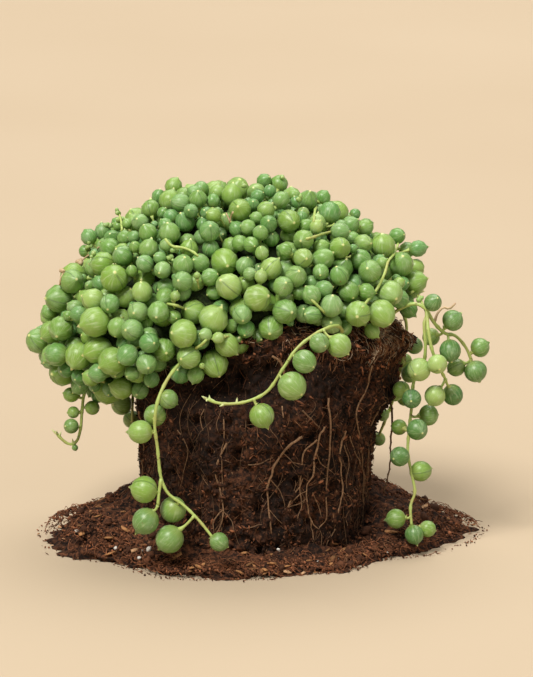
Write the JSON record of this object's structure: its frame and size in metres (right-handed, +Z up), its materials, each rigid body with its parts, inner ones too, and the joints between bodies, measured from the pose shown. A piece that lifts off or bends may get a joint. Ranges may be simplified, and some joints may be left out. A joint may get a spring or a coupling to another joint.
{
  "type": "string of pearls plant with bare root ball",
  "caption": "String of pearls succulent lifted from its pot: a domed crown of round leaves and trailing strands on a bare, pot-shaped root ball and loose soil round its foot.",
  "frame": {"origin": "centre of the root ball's flat underside, on the surface it stands on", "axes": "+Z up along the root ball, -Y towards the side that faces the viewer in the picture, +X to the viewer's right"},
  "size_m": [0.1458, 0.1196, 0.1165],
  "materials": {
    "potting_soil": "matt dark brown peat and coir with fine fibres",
    "loose_crumbs": "matt dark brown crumbs with bark chips and white perlite grains",
    "pearls": "satin waxy green skin with a dark translucent slit",
    "young_pearls": "satin waxy yellow green skin on pale green stems",
    "root": "matt tan root bark"
  },
  "bodies": {
    "root": {"root_ball": "potting_soil", "loose_soil": "loose_crumbs", "crown": "pearls", "strand_front_left": "young_pearls", "strand_front": "young_pearls", "strand_right": "young_pearls", "strand_left": "young_pearls", "strand_back_right": "young_pearls", "strand_back_1": "young_pearls", "strand_back_2": "young_pearls", "strand_back_3": "young_pearls", "wall_root_1": "root", "wall_root_2": "root", "wall_root_3": "root", "wall_root_4": "root", "wall_root_5": "root", "wall_root_6": "root", "wall_root_7": "root", "wall_root_8": "root", "wall_root_9": "root", "wall_root_10": "root"}
  },
  "joints": []
}
